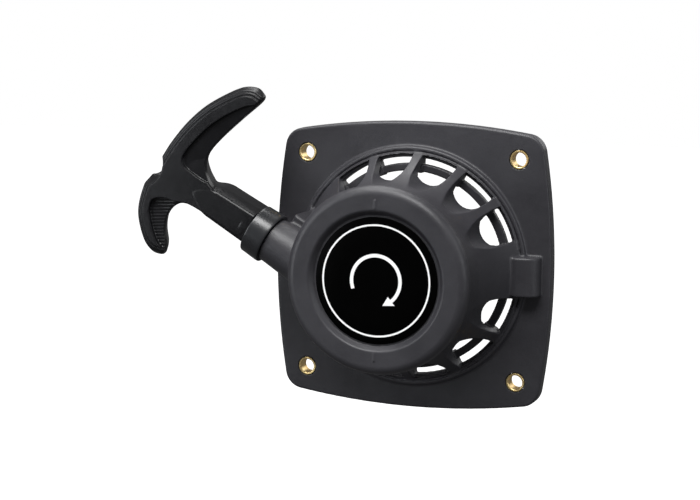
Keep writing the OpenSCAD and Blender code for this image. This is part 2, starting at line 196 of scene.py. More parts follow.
def moulded(name, dark, light, rough, grain, level=0.45):
    """Moulded plastic: a fine grain, slow cloudy variation in colour and gloss, faint scuffs."""
    m = Nodes(name)
    cloud = m.noise(0.05, 4.0, 0.6)
    speck = m.noise(2.2, 2.0, 0.6)
    scuff = m.ramp(m.noise(0.6, 5.0, 0.75), 0.62, 0.78, 0.0, 1.0)
    tone = m.math("ADD", m.math("MULTIPLY", cloud, 0.75), m.math("MULTIPLY", speck, 0.25))
    color = m.mix(m.ramp(tone, 0.3, 0.7, 0.0, 1.0), dark, light)
    gloss = m.ramp(cloud, 0.3, 0.7, rough - 0.05, rough + 0.06)
    m.set(color=color, rough=m.math("ADD", gloss, m.math("MULTIPLY", scuff, 0.05)), level=level)
    m.bump((m.noise(3.0, 3.0, 0.65), grain), (m.noise(0.35, 2.0), grain * 2.5))
    return m.material


def metal(name, base, rough, streak=0.0, stain=None):
    """Metal with fine machining marks and a little tarnish."""
    m = Nodes(name)
    cloud = m.noise(0.12, 5.0, 0.65)
    fine = m.noise(4.0, 2.0)
    tarnish = stain or tuple(c * 0.7 for c in base[:3]) + (1.0,)
    m.set(color=m.mix(m.ramp(cloud, 0.4, 0.75, 0.0, 1.0), base, tarnish), metal=1.0)
    m.set(rough=m.ramp(m.math("ADD", cloud, m.math("MULTIPLY", fine, 0.3)), 0.4, 0.95,
                       rough - 0.06, rough + 0.12))
    m.bump((fine, 0.01 + streak))
    return m.material


# ---------------------------------------------------------------- distance fields


def smin(a, b, k):
    """The smaller of two distances, blended over k millimetres."""
    near = np.maximum(k - np.abs(a - b), 0.0) / k
    return np.minimum(a, b) - near * near * k * 0.25


def smax(a, b, k):
    return -smin(-a, -b, k)


def rounded(d2, dh, r):
    """Two distances met at right angles with a round edge of radius r."""
    a, b = d2 + r, dh + r
    return np.minimum(np.maximum(a, b), 0.0) + np.hypot(np.maximum(a, 0), np.maximum(b, 0)) - r


def slab(h, low, high):
    return np.abs(h - (low + high) / 2) - (high - low) / 2


def spline(points, steps):
    """A smooth closed curve through the points."""
    p = np.array(points, float)
    a, b, c, d = np.roll(p, 1, 0), p, np.roll(p, -1, 0), np.roll(p, -2, 0)
    out = []
    for t in np.arange(steps) / steps:
        out.append(0.5 * (2 * b + (c - a) * t + (2 * a - 5 * b + 4 * c - d) * t * t
                          + (3 * b - a - 3 * c + d) * t ** 3))
    return np.stack(out, 1).reshape(-1, 2)


def polygon_distance(px, py, ring):
    """Signed distance in the plane to a closed outline, negative inside."""
    shape = np.shape(px)
    px, py = np.ravel(px), np.ravel(py)
    best = np.full(px.shape, 1e9)
    inside = np.zeros(px.shape, bool)
    for (ax, ay), (bx, by) in zip(ring, np.roll(ring, -1, 0)):
        ex, ey = bx - ax, by - ay
        wx, wy = px - ax, py - ay
        t = np.clip((wx * ex + wy * ey) / (ex * ex + ey * ey), 0, 1)
        best = np.minimum(best, (wx - t * ex) ** 2 + (wy - t * ey) ** 2)
        if ey:
            inside ^= ((ay > py) != (by > py)) & (px < ax + (py - ay) * ex / ey)
    return np.where(inside, -1, 1).reshape(shape) * np.sqrt(best).reshape(shape)


def surface_net(field, low, high, step):
    """Vertices and quads of the zero surface of field(x, y, h)."""
    axes = [np.arange(a, b + step, step) for a, b in zip(low, high)]
    nx, ny, nz = (len(a) for a in axes)
    f = np.empty((nx, ny, nz), np.float32)
    slices = max(1, int(400000 / (ny * nz)))
    for i in range(0, nx, slices):
        g = np.meshgrid(axes[0][i:i + slices], axes[1], axes[2], indexing="ij")
        f[i:i + slices] = field(*g)
    neg = f < 0
    corner = [(a, b, c) for a in (0, 1) for b in (0, 1) for c in (0, 1)]

    def view(arr, a, b, c):
        return arr[a:nx - 1 + a, b:ny - 1 + b, c:nz - 1 + c]

    count = sum(view(neg, *k).astype(np.int8) for k in corner)
    active = (count > 0) & (count < 8)
    cells = np.argwhere(active)
    total = np.zeros((len(cells), 3))
    hits = np.zeros(len(cells))
    for k in corner:
        for axis in range(3):
            if k[axis]:
                continue
            j = list(k)
            j[axis] = 1
            fa = f[tuple((cells + k).T)]
            fb = f[tuple((cells + j).T)]
            cross = (fa < 0) != (fb < 0)
            t = np.where(cross, fa / np.where(cross, fa - fb, 1), 0)
            point = np.array(k, float) + np.zeros((len(cells), 3))
            point[:, axis] = t
            total += point * cross[:, None]
            hits += cross
    verts = (cells + total / hits[:, None]) * step + np.array(low)
    index = np.full(active.shape, -1, np.int64)
    index[tuple(cells.T)] = np.arange(len(cells))
    quads = []
    for axis in range(3):
        others = [k for k in range(3) if k != axis]
        a = np.take(neg, range(0, f.shape[axis] - 1), axis)
        b = np.take(neg, range(1, f.shape[axis]), axis)
        edges = np.argwhere(a != b)
        keep = np.all([(edges[:, k] > 0) & (edges[:, k] < f.shape[k] - 1) for k in others], 0)
        edges = edges[keep]
        rising = a[tuple(edges.T)]
        ids = []
        for da, db in ((0, 0), (1, 0), (1, 1), (0, 1)):
            c = edges.copy()
            c[:, others[0]] -= 1 - da
            c[:, others[1]] -= 1 - db
            ids.append(index[tuple(c.T)])
        quad = np.stack(ids, 1)
        flip = rising if axis == 1 else ~rising
        quad[flip] = quad[flip][:, ::-1]
        quads.append(quad)
    quads = np.concatenate(quads)
    return settle(field, verts, step), quads[(quads >= 0).all(1)]


def gradient(field, v, e=0.05):
    g = np.empty_like(v)
    for axis in range(3):
        d = np.zeros(3)
        d[axis] = e
        g[:, axis] = (field(*(v + d).T) - field(*(v - d).T)) / (2 * e)
    return g


def settle(field, v, step):
    """Moves vertices onto the surface, no further than half a cell."""
    start = v.copy()
    for _ in range(3):
        g = gradient(field, v)
        v = v - g * (field(*v.T) / np.maximum((g * g).sum(1), 0.2))[:, None]
        away = v - start
        far = np.linalg.norm(away, axis=1, keepdims=True)
        v = start + away * np.minimum(1, 0.6 * step / np.maximum(far, 1e-9))
    return v


# ---------------------------------------------------------------- mesh helpers


def new_object(name, verts, faces, material, smooth=True):
    """A mesh object from points in metres, in the row frame."""
    mesh = bpy.data.meshes.new(name)
    mesh.from_pydata([tuple(v) for v in verts], [], [tuple(int(i) for i in f) for f in faces])
    mesh.validate()
    mesh.polygons.foreach_set("use_smooth", [smooth] * len(mesh.polygons))
    mesh.materials.append(material)
    obj = bpy.data.objects.new(name, mesh)
    bpy.context.scene.collection.objects.link(obj)
    return obj


def to_row(v):
    """Points of the flat frame in millimetres as points of the row frame in metres."""
    v = np.asarray(v, float)
    return np.stack([v[:, 0], -v[:, 2], v[:, 1]], 1) * MM


def fewer(obj, most):
    """Merges triangles where the surface is flattest until no more than most are left."""
    count = 2 * len(obj.data.polygons)
    if count <= most:
        return
    thin = obj.modifiers.new("fewer", "DECIMATE")
    thin.ratio = most / count
    thinned = bpy.data.meshes.new_from_object(obj.evaluated_get(bpy.context.evaluated_depsgraph_get()))
    obj.modifiers.clear()
    obj.data = thinned


def field_object(name, field, low, high, step, material, place=to_row, most=180000):
    """The surface of a distance field, shaded with the field's own normals."""
    verts, quads = surface_net(field, low, high, step)
    origin = place(np.zeros((1, 3)))
    turn = place(np.eye(3)) - origin
    if np.linalg.det(turn) < 0:
        quads = quads[:, ::-1]
    mesh = bpy.data.meshes.new(name)
    mesh.vertices.add(len(verts))
    mesh.vertices.foreach_set("co", place(verts).ravel())
    mesh.loops.add(quads.size)
    mesh.loops.foreach_set("vertex_index", quads.ravel())
    mesh.polygons.add(len(quads))
    mesh.polygons.foreach_set("loop_start", np.arange(0, quads.size, 4))
    mesh.update(calc_edges=True)
    obj = bpy.data.objects.new(name, mesh)
    bpy.context.scene.collection.objects.link(obj)
    fewer(obj, most)
    mesh = obj.data
    points = np.empty(len(mesh.vertices) * 3)
    mesh.vertices.foreach_get("co", points)
    normal = gradient(field, (points.reshape(-1, 3) - origin) @ np.linalg.inv(turn), 0.1) @ turn
    normal /= np.maximum(np.linalg.norm(normal, axis=1, keepdims=True), 1e-12)
    mesh.polygons.foreach_set("use_smooth", [True] * len(mesh.polygons))
    mesh.normals_split_custom_set_from_vertices(normal.tolist())
    mesh.materials.append(material)
    return obj


def auto_smooth(obj, degrees=35):
    """Smooth shading with sharp edges above an angle."""
    bm = bmesh.new()
    bm.from_mesh(obj.data)
    for e in bm.edges:
        e.smooth = len(e.link_faces) == 2 and e.calc_face_angle(0) < math.radians(degrees)
    bm.to_mesh(obj.data)
    bm.free()
    return obj


def frame_at(s):
    """Flat-frame point on the rope exit's axis, s along the pull."""
    return (ALONG[0] * s - ACROSS[0] * EXIT_OFFSET, ALONG[1] * s - ACROSS[1] * EXIT_OFFSET, EXIT_H)


def lathe(name, profile, material, at=(0.0, 0.0, 0.0), along=None, steps=96, degrees=35):
    """A closed solid of revolution from (radius, distance along the axis) points.

    The axis runs forwards from at, or along the pull when along is set.
    """
    if along:
        axis, one, two = (ALONG[0], ALONG[1], 0), (ACROSS[0], ACROSS[1], 0), (0, 0, 1)
    else:
        axis, one, two = (0, 0, 1), (1, 0, 0), (0, 1, 0)
    axis, one, two, at = (np.array(v, float) for v in (axis, one, two, at))
    verts = []
    for k in range(steps):
        a = 2 * math.pi * k / steps
        out = one * math.cos(a) + two * math.sin(a)
        verts += [at + out * r + axis * z for r, z in profile]
    n = len(profile)
    faces = [(k * n + i, (k + 1) % steps * n + i, (k + 1) % steps * n + (i + 1) % n,
              k * n + (i + 1) % n) for k in range(steps) for i in range(n)]
    obj = new_object(name, to_row(verts), faces, material)
    clean(obj)
    return auto_smooth(obj, degrees)


def clean(obj):
    """Welds doubled points, drops flat faces and turns the faces outwards."""
    bm = bmesh.new()
    bm.from_mesh(obj.data)
    bmesh.ops.remove_doubles(bm, verts=bm.verts, dist=1e-6)
    bmesh.ops.dissolve_degenerate(bm, edges=bm.edges, dist=1e-7)
    bmesh.ops.recalc_face_normals(bm, faces=bm.faces)
    bm.to_mesh(obj.data)
    bm.free()


def arc(cx, cz, r, a0, a1, steps=6):
    """Points of a profile's arc, angles in degrees."""
    return [(cx + r * math.cos(math.radians(a0 + (a1 - a0) * i / steps)),
             cz + r * math.sin(math.radians(a0 + (a1 - a0) * i / steps)))
            for i in range(steps + 1)]


def tube(name, path, radius, material, sides=12, closed=False):
    """A round tube along points of the flat frame."""
    p = np.array(path, float)
    n = len(p)
    t = (np.roll(p, -1, 0) - np.roll(p, 1, 0)) if closed else np.gradient(p, axis=0)
    t /= np.linalg.norm(t, axis=1, keepdims=True)
    normal = np.cross(t[0], (0.3, 0.2, 0.93))
    normal /= np.linalg.norm(normal)
    verts = []
    for i in range(n):
        normal = normal - t[i] * normal.dot(t[i])
        normal /= np.linalg.norm(normal)
        side = np.cross(t[i], normal)
        for k in range(sides):
            a = 2 * math.pi * k / sides
            verts.append(p[i] + radius * (math.cos(a) * normal + math.sin(a) * side))
    last = n if closed else n - 1
    faces = [(i * sides + k, i * sides + (k + 1) % sides, (i + 1) % n * sides + (k + 1) % sides,
              (i + 1) % n * sides + k) for i in range(last) for k in range(sides)]
    if not closed:
        faces += [tuple(range(sides))[::-1], tuple((n - 1) * sides + k for k in range(sides))]
    return new_object(name, to_row(verts), faces, material)


# ---------------------------------------------------------------- materials

housing_plastic = moulded("housing_plastic", grey(0.0200, 0.0194, 0.0228), grey(0.0305, 0.0297, 0.0342),
                          0.45, 0.035, 0.42)
collar_plastic = moulded("collar_plastic", grey(0.012, 0.0125, 0.014), grey(0.019, 0.020, 0.022),
                         0.3, 0.012)
handle_plastic = moulded("handle_plastic", grey(0.0032, 0.0032, 0.0038), grey(0.006, 0.006, 0.007),
                         0.33, 0.02, 0.26)
reel_plastic = moulded("reel_plastic", grey(0.62, 0.59, 0.5), grey(0.72, 0.7, 0.62), 0.45, 0.02)
brass = metal("brass", (0.88, 0.7, 0.34, 1.0), 0.36, 0.01, (0.66, 0.43, 0.17, 1.0))
bronze = metal("bronze", (0.5, 0.33, 0.16, 1.0), 0.42, 0.02)
zinc = metal("zinc", (0.72, 0.73, 0.75, 1.0), 0.25, 0.01)
pressed = metal("pressed_steel", (0.5, 0.51, 0.53, 1.0), 0.34, 0.02)
spring_steel = metal("spring_steel", (0.2, 0.21, 0.24, 1.0), 0.3, 0.01)
sintered = metal("sintered_steel", (0.32, 0.31, 0.3, 1.0), 0.5, 0.05)


def badge_material():
    m = Nodes("badge_black")
    m.set(color=m.mix(m.noise(0.2, 3.0), grey(0.0004), grey(0.0008)), rough=0.35, level=0.02)
    m.bump((m.noise(0.15, 2.0), 0.02))
    return m.material


def print_material():
    m = Nodes("badge_print")
    m.set(color=m.mix(m.noise(1.5, 3.0), grey(0.8), grey(0.9)), rough=0.3)
    m.bump((m.noise(2.0), 0.005))
    return m.material


badge_black, badge_print = badge_material(), print_material()


def rope_material():
    """Braided polyester: two sets of strands crossing, with painted shade darkening the dips between
    the strands.
    """
    m = Nodes("rope_braid")
    w = m.add("ShaderNodeSeparateXYZ")
    m.tree.links.new(m.coord, w.inputs[0])
    one = m.math("ADD", m.math("MULTIPLY", w.outputs[0], ALONG[0]),
                 m.math("MULTIPLY", w.outputs[2], ALONG[1]))
    two = m.math("ADD", m.math("MULTIPLY", w.outputs[0], ACROSS[0]),
                 m.math("MULTIPLY", w.outputs[2], ACROSS[1]))
    turn = 2 * math.pi / (1.6 * MM)
    left = m.math("SINE", m.math("MULTIPLY", m.math("ADD", one, two), turn))
    right = m.math("SINE", m.math("MULTIPLY", m.math("SUBTRACT", one, two), turn))
    weave = m.ramp(m.math("MULTIPLY", left, right), -1.0, 1.0, 0.0, 1.0)
    fuzz = m.noise(6.0, 4.0, 0.7)
    # painted shade: the colour darkens where the weave's bump dips, in the grooves between strands; the
    # fuzz adds random tone
    shade = m.math("ADD", m.math("MULTIPLY", weave, 0.7), m.math("MULTIPLY", fuzz, 0.3))
    m.set(color=m.mix(shade, grey(0.42, 0.41, 0.38), grey(0.82, 0.81, 0.77)), rough=0.75,
          level=0.3)
    m.bump((weave, 0.25), (fuzz, 0.06))
    return m.material


rope_braid = rope_material()

# ---------------------------------------------------------------- housing

SIDE_C = SIDE_R - FLANGE_HALF
CORNER_C = (-SIDE_C + math.sqrt(SIDE_C ** 2 - 2 * (SIDE_C ** 2 - (SIDE_R - CORNER_R) ** 2))) / 2
CORNER_A = math.atan2(CORNER_C, CORNER_C + SIDE_C)


def flange_outline(x, y):
    ax, ay = np.abs(x), np.abs(y)
    sides = np.maximum(np.hypot(ax + SIDE_C, ay), np.hypot(ax, ay + SIDE_C)) - SIDE_R
    qx, qy = ax - CORNER_C, ay - CORNER_C
    angle = np.arctan2(qy, qx)
    round_part = (angle > CORNER_A) & (angle < math.pi / 2 - CORNER_A)
    return np.where(round_part, np.hypot(qx, qy) - CORNER_R, sides)


SKIRT_RISE = 32.0


def skirt_radius(h):
    """The skirt's outer radius: narrow under the cap, flaring to the lip."""
    f = np.clip((39.5 - h) / SKIRT_RISE, 0.0, 1.2)
    return 33.2 + 10.5 * f * f


def local(x, y):
    """Distance along the pull and across it."""
    px = x + ACROSS[0] * EXIT_OFFSET
    py = y + ACROSS[1] * EXIT_OFFSET
    return px * ALONG[0] + py * ALONG[1], px * ACROSS[0] + py * ACROSS[1]


def fan_angle(x, y):
    """The angle round the fan ring in degrees, drawn out a little towards the bottom."""
    angle = np.degrees(np.arctan2(y, x))
    below = np.clip(np.abs(angle + 85) / 65, 0, 1)
    return angle + 6.5 * np.cos(below * math.pi / 2) ** 2


def vents(x, y, r, h):
    """The scalloped vents between the ribs: the hole, and the wall that lines it.

    They go all round but at the bump and the rope exit.
    """
    angle = fan_angle(x, y)
    k = np.round((angle - FIRST_VENT) / PITCH)
    off = np.radians(angle - FIRST_VENT - PITCH * k)
    lx, ly = r * np.cos(off), r * np.sin(off)
    half = math.radians(PITCH / 2)
    rib = np.abs(ly) * math.cos(half) - lx * math.sin(half) + 1.5
    draught = 0.03 * np.clip(h - SCOOP_BACK, 0, 20)
    lower = 1.2 * np.clip(-y / 40, 0, 1)
    bowl = np.hypot(np.minimum(lx - SCOOP_AT - lower, 0.0), ly) - SCOOP_R - draught
    cut = smax(np.maximum(bowl, h - SCOOP_FRONT), rib, 0.8)
    lining = np.maximum(np.maximum(bowl - 1.5, SCOOP_BACK - h), h - SCOOP_FRONT - 1.0)
    place = np.mod(k, 15)
    blocked = (place == 14) | (place == 5) | (place == 6)
    return (np.where(blocked, 5.0, np.maximum(cut, r - VENT_R)),
            np.where(blocked, 5.0, np.maximum(lining, lx - SCOOP_AT)))


def housing_field(x, y, h):
    r = np.hypot(x, y)
    # flange: a plate with a rim behind it, bosses and stiffening ribs
    outline = flange_outline(x, y)
    flange = rounded(outline + 0.15 * np.clip(h, 0, FLANGE_D) / FLANGE_D, slab(h, 0, FLANGE_D), 0.9)
    hollow = np.maximum(outline + RIM_W, h - PLATE_BACK)
    hollow = smax(hollow, LIP_R + 1.0 - r, 1.0)
    boss = np.hypot(np.abs(x) - HALF, np.abs(y) - HALF)
    hollow = smax(hollow, 6.2 - boss, 1.0)
    spoke = np.abs(np.mod(np.degrees(np.arctan2(y, x)) + 15, 30) - 15)
    hollow = smax(hollow, 0.8 - r * np.sin(np.radians(spoke)), 0.6)
    body = smax(flange, -hollow, 0.6)
    # lip round the fan ring
    lip = rounded(np.abs(r - (LIP_R + VENT_R) / 2) - (LIP_R - VENT_R) / 2, slab(h, 0, LIP_H), 0.8)
    lip = np.maximum(lip, (h - LIP_H + (44.5 - r) * 1.1) * 0.67)
    body = np.maximum(body, VENT_R - r)
    body = smin(body, lip, 1.2)
    # skirt with its vents
    slope = np.sqrt(1 + (21.0 * np.clip((39.5 - h) / SKIRT_RISE, 0, 1.2) / SKIRT_RISE) ** 2)
    outer = (r - skirt_radius(h)) / slope
    thick = WALL + 0.9 * np.clip((26 - h) / 10, 0, 1)
    skirt = smax(np.maximum(outer, -outer - thick), slab(h, 3.0, 40.5), 0.8)
    hole, lining = vents(x, y, r, h)
    skirt = np.minimum(skirt, np.maximum(lining, outer + 0.2))
    skirt = smax(skirt, -hole, 0.25)
    # fan rings and the ribs' feet
    bars = rounded(np.abs(r - 37.9) - 1.45, slab(h, BAR_BACK, BAR_FRONT), 0.3)
    bars = np.minimum(bars, rounded(np.abs(r - 42.6) - 0.85, slab(h, 2.0, RING_FRONT), 0.2))
    turn = np.mod(fan_angle(x, y) - FIRST_VENT + PITCH / 2, PITCH)
    turn = np.radians(np.where(turn > PITCH / 2, PITCH - turn, turn))
    foot = np.maximum(r * np.sin(turn) - 1.5, np.abs(r - 40.0) - 4.0)
    foot = rounded(foot, slab(h, 2.0, 7.5), 0.3)
    fan = smin(smin(bars, foot, 0.5), skirt, 0.8)
    body = smin(body, fan, 0.5)
    # cap with its recess
    cap = rounded(r - CAP_R, slab(h, 40.0, CAP_H), 3.4)
    cap = smin(cap, np.maximum(r - 33.4, slab(h, 30.0, 43.0)), 0.8)
    rim_slope = (r - (BADGE_R + 0.9 + (h - 44.9) * 0.72)) * 0.81
    recess = np.maximum(rim_slope, 44.9 - h)
    cap = smax(cap, -recess, 0.5)
    tick = np.maximum(np.maximum(np.abs(x) - 0.3, np.abs(np.abs(y) - 27.8) - 1.6), h - 47.2)
    cap = smin(cap, np.maximum(tick, 46.0 - h), 0.3)
    cap = np.maximum(cap, -np.maximum(r - (CAP_R - WALL), h - CEILING_H))
    body = smin(body, cap, 0.9)
    # bump beside the lip
    bx, by = x - 45.0, y + 1.2
    bump = rounded(rounded(np.abs(bx) - 6.3, slab(h, -14.0, 12.0), 4.8), np.abs(by) - 7.4, 0.8)
    bump = np.maximum(bump, -h)
    bump = np.maximum(bump, 39.2 - r + np.clip(h - 12, -12, 0) * -0.35)
    body = smin(body, bump, 1.0)
    pocket = np.maximum(np.abs(x - 47.0) - 1.5, np.abs(by) - 5.4)
    body = smax(body, -np.maximum(pocket, h - 8.0), 0.5)
    # rope exit with its web
    s, t = local(x, y)
    radius = 9.8 - 1.05 * np.clip((s - 26) / 18, 0, 1) + 3.0 * np.clip((34 - s) / 10, 0, 1) ** 2
    exit_tube = rounded(np.hypot(t, h - EXIT_H) - radius, slab(s, 22.0, MOUTH_S - COLLAR_LEN), 0.4)
    spigot = np.maximum(np.hypot(t, h - EXIT_H) - 7.6, slab(s, 40.0, MOUTH_S - COLLAR_LEN + 3.4))
    web = rounded(np.maximum(slab(s, 22.0, 44.3), slab(t, -8.0, 11.5)), slab(h, 5.0, 25.0), 1.2)
    exit_body = smin(smin(exit_tube, web, 2.5), spigot, 0.3)
    inner = (r - skirt_radius(h)) / slope + WALL * 0.5
    exit_body = np.maximum(exit_body, -np.where(h < 40, inner, r - 32.4))
    body = smin(body, exit_body, 2.2)
    bore = 7.6 - 1.6 * np.clip((s - 18) / 30, 0, 1)
    passage = np.maximum(np.hypot(t, h - EXIT_H) - bore, 20.0 - s)
    body = smax(body, -passage, 0.4)
    # inside: the post, with its wider foot under the ceiling
    post = np.maximum(r - POST_R, slab(h, 13.6, 43.5))
    post = smin(post, np.maximum(r - 6.0, slab(h, 41.6, 43.5)), 1.0)
    post = np.maximum(post, -np.maximum(r - 3.2, h - 28.0))
    body = smin(body, post, 0.4)
    # insert holes
    body = smax(body, -(boss - INSERT_R - 0.2), 0.2)
    return np.maximum(body, -h)


GRID = 0.5
housing = field_object("housing_shell", housing_field, (-56.2, -56.2, -1.2), (56.2, 56.2, 48.6),
                       GRID, housing_plastic)
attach(housing, HOUSING)
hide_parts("housing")

# ---------------------------------------------------------------- handle

# Outlines as (along the pull, across it) from the crankshaft axis and the exit's axis
OUTER_EDGE = [
    (84.4, -30.4), (89.0, -29.0), (94.2, -24.6), (98.2, -19.2), (100.3, -12.2), (101.0, -4.2),
    (99.6, 3.2), (98.9, 11.0), (96.9, 20.8), (93.5, 30.0), (88.8, 37.9), (83.7, 44.4), (78.9, 47.2)]
GRIP = spline([
    (56.0, -4.0), (66, -4.4), (74, -4.8), (79.0, -5.2), (83.0, -6.8), (85.4, -10.2), (85.8, -14.4),
    (84.2, -19.4), (81.2, -23.4), (79.6, -26.6), (80.8, -29.2), *OUTER_EDGE, (75.6, 46.8),
    (73.6, 44.4), (77.1, 34.8), (80.3, 25.8), (82.4, 18.4), (82.6, 14.2), (81.2, 10.4),
    (78.4, 7.4), (74.0, 5.4), (66, 4.3), (56.0, 4.1)], 5)
CREST = spline([
    (30, -40), (60, -33), (75.5, -29.6), (80.6, -29.7), *OUTER_EDGE, (75.0, 47.4), (68, 46.8),
    (50, 45), (30, 45)], 5)
SCOOP = spline([
    (64.0, 42.0), (71.0, 42.2), (76.4, 40.6), (82.2, 33.4), (86.6, 25.4), (89.2, 17.4),
    (90.4, 11.4), (90.0, 8.6), (87.9, 6.6), (84.0, 6.1), (79.4, 6.0), (77.0, 6.6),
    (75.6, 10.0), (74.0, 18.0), (66.0, 30.0)], 4)
HOOK = spline([
    (80.6, -5.2), (85.2, -7.2), (89.6, -8.4), (93.2, -11.4), (92.6, -15.4), (90.6, -18.4),
    (86.6, -22.6), (82.4, -25.2), (77.5, -25.0), (74.0, -14.0), (76.0, -6.0)], 4)
SHANK_MID, SHANK_HALF = 0.3, 6.4


def ridges(s, t):
    """Fine finger ridges across the hook."""
    return np.sin((s * 0.55 + t * 0.85) * 2 * math.pi / 1.25)


def outline(s, t, ring):
    """polygon_distance, worked out once where a grid repeats its points over its third axis."""
    if np.ndim(s) == 1:
        return polygon_distance(s, t, ring)
    return np.repeat(polygon_distance(s[:, :, :1], t[:, :, :1], ring), s.shape[2], 2)


def handle_field(s, t, w):
    grip, crest, scoop, hook = (outline(s, t, ring) for ring in (GRIP, CREST, SCOOP, HOOK))
    # the arms narrow towards the back, and their outer side is a deep ridged band
    arm = np.clip(np.maximum((-6 - t) / 8, (t - 5) / 5), 0, 1)
    narrow = (0.27 + 0.15 * arm) * np.clip(3.0 - w, 0.0, 12.0)
    body = rounded(grip + narrow, slab(w, -GRIP_BACK + arm, 6.5), 1.1)
    band = 4.0 * (np.hypot(np.clip(crest / 4.0 + 1, 0, 30), np.clip(w, 0, 20) / 7.0) - 1.0)
    band = band + 0.1 * np.sin(crest * 2 * math.pi / 1.35) * (crest > -4.0)
    body = smax(body, band, 0.8)
    panel = rounded(np.maximum(crest + 3.8, grip + 0.3), slab(w, 4.5, GRIP_FRONT), 0.35)
    body = smin(body, panel, 0.25)
    # grip recesses on the inner side of both arms
    floor = 5.7 - 0.13 * np.clip(-scoop, 0, 14)
    body = smax(body, -smax(scoop, floor - w, 0.3), 0.3)
    floor = 5.3 - 0.12 * np.clip(-hook, 0, 12) + 0.07 * ridges(s, t)
    body = smax(body, -smax(hook, floor - w, 0.3), 0.3)
    # the shank has its own section, narrower in front
    side = np.abs(t - SHANK_MID) - SHANK_HALF + 0.03 * np.clip(w, 0, 8) ** 2
    side = side - 0.025 * np.clip(77 - s, 0, 25) + 0.05 * np.clip(s - 71, 0, 10) ** 2
    shank = rounded(rounded(side, slab(w, -GRIP_BACK, GRIP_FRONT), 0.9), slab(s, 54.3, 81.0), 0.3)
    shank = smax(shank, s - 80.0 - 0.15 * w, 2.0)
    body = smin(body, shank, 0.3 + 1.9 * np.clip((3 - w) / 4, 0, 1))
    # knot pocket in the crest, the rope's hole and the nose in the collar
    pocket = np.sqrt((s - 104.2) ** 2 + (t + 1.8) ** 2 + (w - 8.5) ** 2) - 9.2
    body = smax(body, -pocket, 0.4)
    axis = np.hypot(t, w)
    body = smax(body, -np.maximum(axis - 4.6, 84.6 - s), 0.4)
    nose = rounded(axis - 7.2, slab(s, 52.6, 58.0), 0.8)
    body = smin(body, nose, 0.2)
    return smax(body, -(axis - 2.15), 0.3)


def handle_place(v):
    """Handle coordinates in millimetres, as points of the row frame in metres."""
    v = np.asarray(v, float)
    x = ALONG[0] * v[:, 0] + ACROSS[0] * (v[:, 1] - EXIT_OFFSET)
    y = ALONG[1] * v[:, 0] + ACROSS[1] * (v[:, 1] - EXIT_OFFSET)
    return to_row(np.stack([x, y, EXIT_H + v[:, 2]], 1))


handle = field_object("handle_grip", handle_field, (51.6, -32.8, -10.4), (103.4, 49.8, 8.6),
                      0.42, handle_plastic, handle_place)
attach(handle, HANDLE)
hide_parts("handle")

# ---------------------------------------------------------------- rope exit collar and eyelet

S0 = MOUTH_S - COLLAR_LEN
collar = lathe("exit_collar_ring", [
    (7.62, 0.0), (9.6, 0.0), *arc(9.6, 0.35, 0.35, -90, 0, 3), (10.0, 1.2), (9.75, 6.9),
    *arc(9.25, 7.4, 0.5, 0, 90, 4), (8.3, 7.9), *arc(8.4, 7.6, 0.3, 90, 180, 3), (8.1, 5.4),
    (5.2, 5.4), (5.2, 3.4), (7.62, 3.4)], collar_plastic, at=frame_at(S0), along=True)
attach(collar, HOUSING)
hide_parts("exit_collar")

eyelet = lathe("rope_eyelet_ring", [
    (5.2, 2.0), (5.2, 5.4), (6.9, 5.4), *arc(6.6, 5.75, 0.35, -60, 90, 5), (4.4, 6.1),
    *arc(3.7, 4.7, 1.5, 90, 180, 6), (2.2, 3.6), *arc(3.7, 3.5, 1.5, 180, 270, 6)],
    zinc, at=frame_at(S0), along=True)
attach(eyelet, HOUSING)
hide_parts("rope_eyelet")

# ---------------------------------------------------------------- inserts

CORNERS = {"upper_left": (-HALF, HALF), "upper_right": (HALF, HALF),
           "lower_left": (-HALF, -HALF), "lower_right": (HALF, -HALF)}
for corner, (cx, cy) in CORNERS.items():
    insert = lathe("brass_insert_" + corner, [
        (INSERT_BORE, 0.35), (3.0, 0.0), (3.3, 0.0), (INSERT_R, 0.2), (INSERT_R, 5.95), (3.35, 6.15),
        (3.05, 6.15), *arc(3.05, 5.75, 0.4, 90, 150, 4)], brass, at=(cx, cy, 0.0), steps=64)
    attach(insert, HOUSING)
    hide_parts("insert_" + corner)

# ---------------------------------------------------------------- badge

